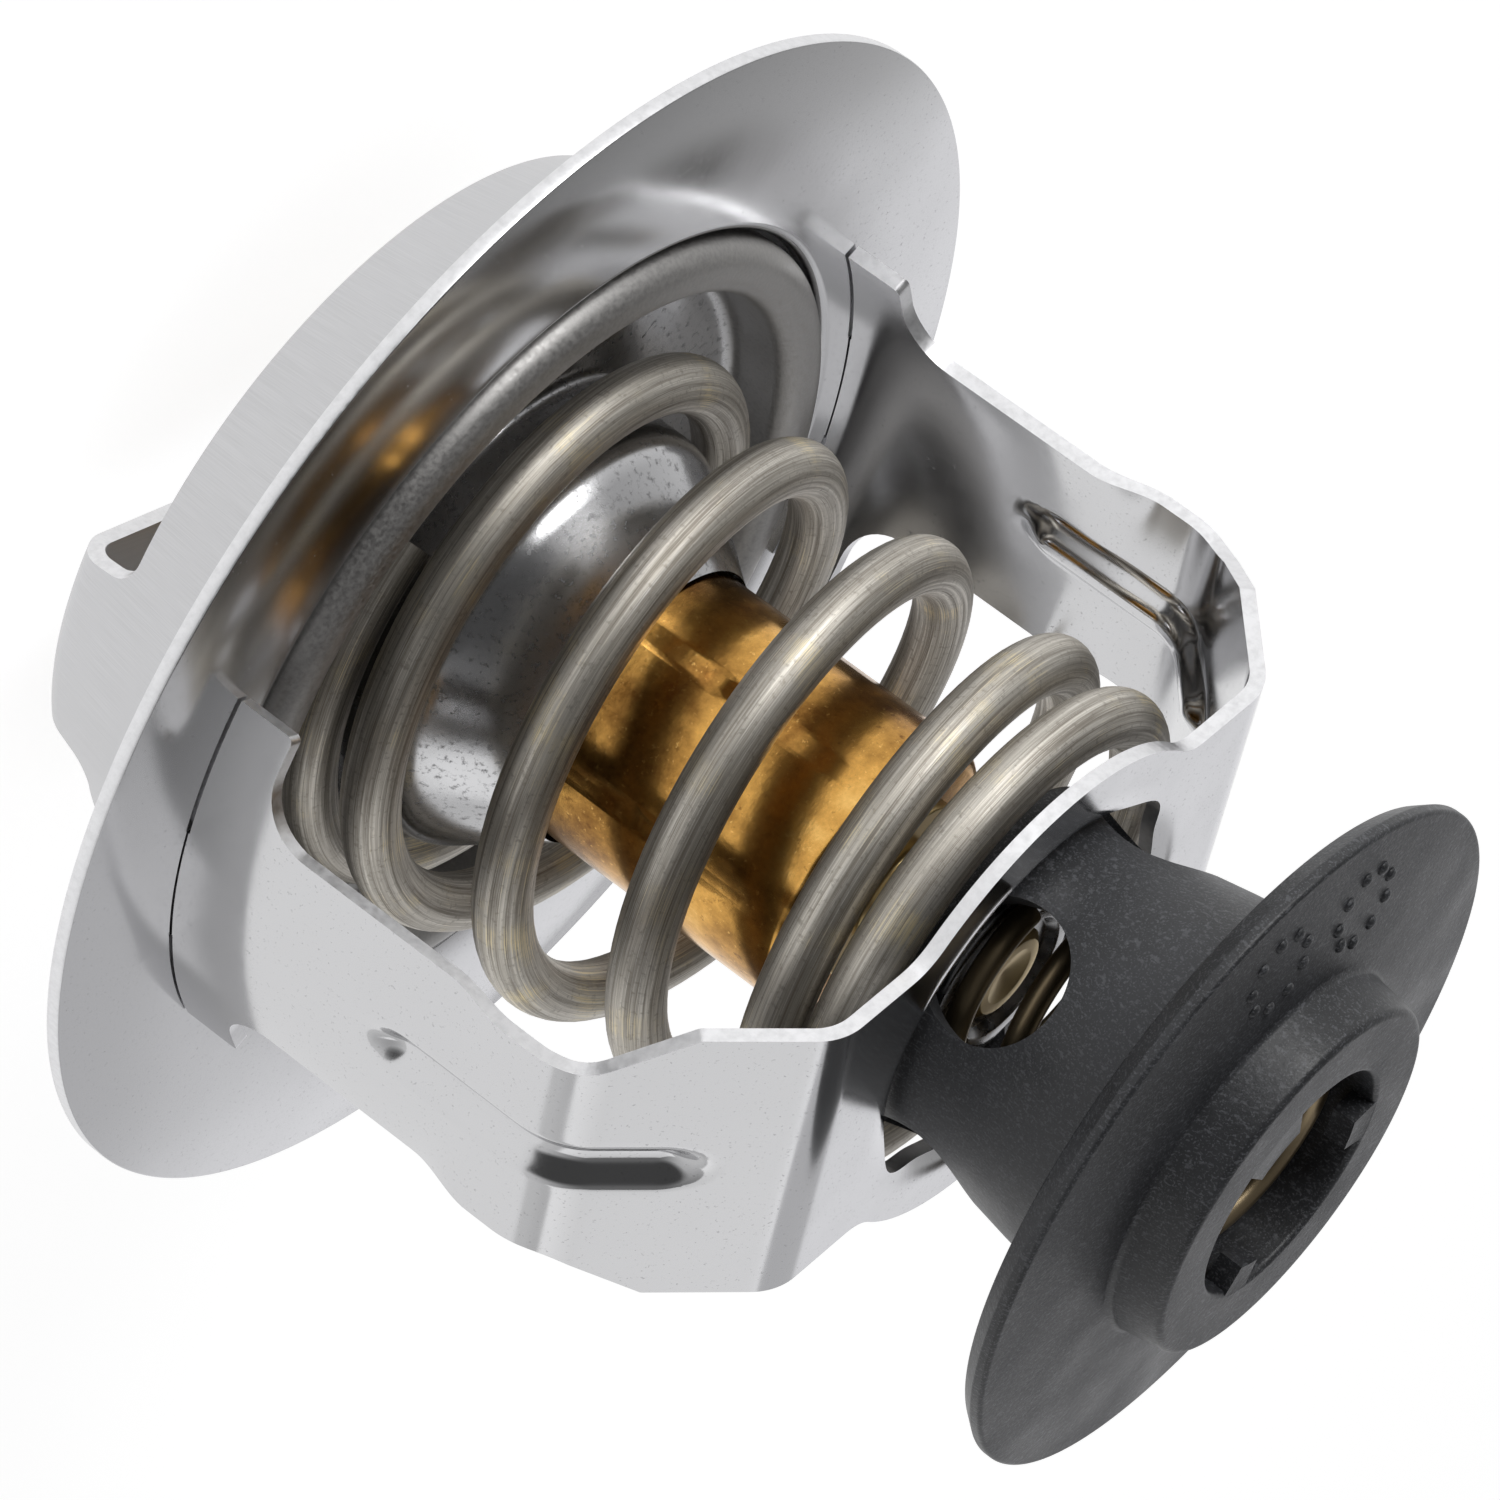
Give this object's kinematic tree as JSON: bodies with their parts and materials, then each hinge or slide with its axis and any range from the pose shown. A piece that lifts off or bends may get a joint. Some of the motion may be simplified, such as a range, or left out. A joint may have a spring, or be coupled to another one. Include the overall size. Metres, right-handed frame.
{
  "type": "engine thermostat",
  "caption": "Wax engine thermostat: flanged hat with bridge, stamped frame, coil spring, wax element and a sprung plastic bypass valve.",
  "frame": {"origin": "centre of the flange's engine-side face", "axes": "+Z along the thermostat's axis towards the bypass valve, +X through a leg of the lower frame"},
  "size_m": [0.067, 0.067, 0.0648],
  "materials": {
    "stainless": "polished sheet with fine scratches",
    "valve_steel": "satin, with a blasted rim",
    "spring_steel": "drawn wire",
    "cup_brass": "tarnished",
    "turned_brass": "turned",
    "pin_steel": "ground",
    "black_rubber": "matte",
    "wax": "copper-filled wax",
    "white_disc": "smooth",
    "charcoal_plastic": "fibre-filled moulding",
    "bronze_wire": "dark bronze"
  },
  "bodies": {
    "housing": {"flange_housing": "stainless", "piston_pin": "pin_steel", "lower_frame": "stainless"},
    "valve": {"valve_disc": "valve_steel", "element_cup": "cup_brass", "wax_charge": "wax", "diaphragm": "black_rubber", "element_guide": "turned_brass", "rubber_plug": "black_rubber", "backup_washer": "white_disc", "guide_seal": "black_rubber", "element_stud": "turned_brass", "spring_plate": "pin_steel", "main_spring": "spring_steel"},
    "bypass": {"bypass_valve": "charcoal_plastic", "bypass_spring": "bronze_wire"}
  },
  "joints": [
    {"name": "valve_lift", "type": "slide", "parent": "housing", "child": "valve", "axis": [0, 0, 1], "range_m": [0, 0.008], "stiffness_N_per_m": 6000, "springref_m": -0.002, "deforming": ["main_spring"]},
    {"name": "bypass_slide", "type": "slide", "parent": "valve", "child": "bypass", "axis": [0, 0, -1], "range_m": [0, 0.003], "stiffness_N_per_m": 2500, "springref_m": -0.002, "deforming": ["bypass_spring"]}
  ]
}
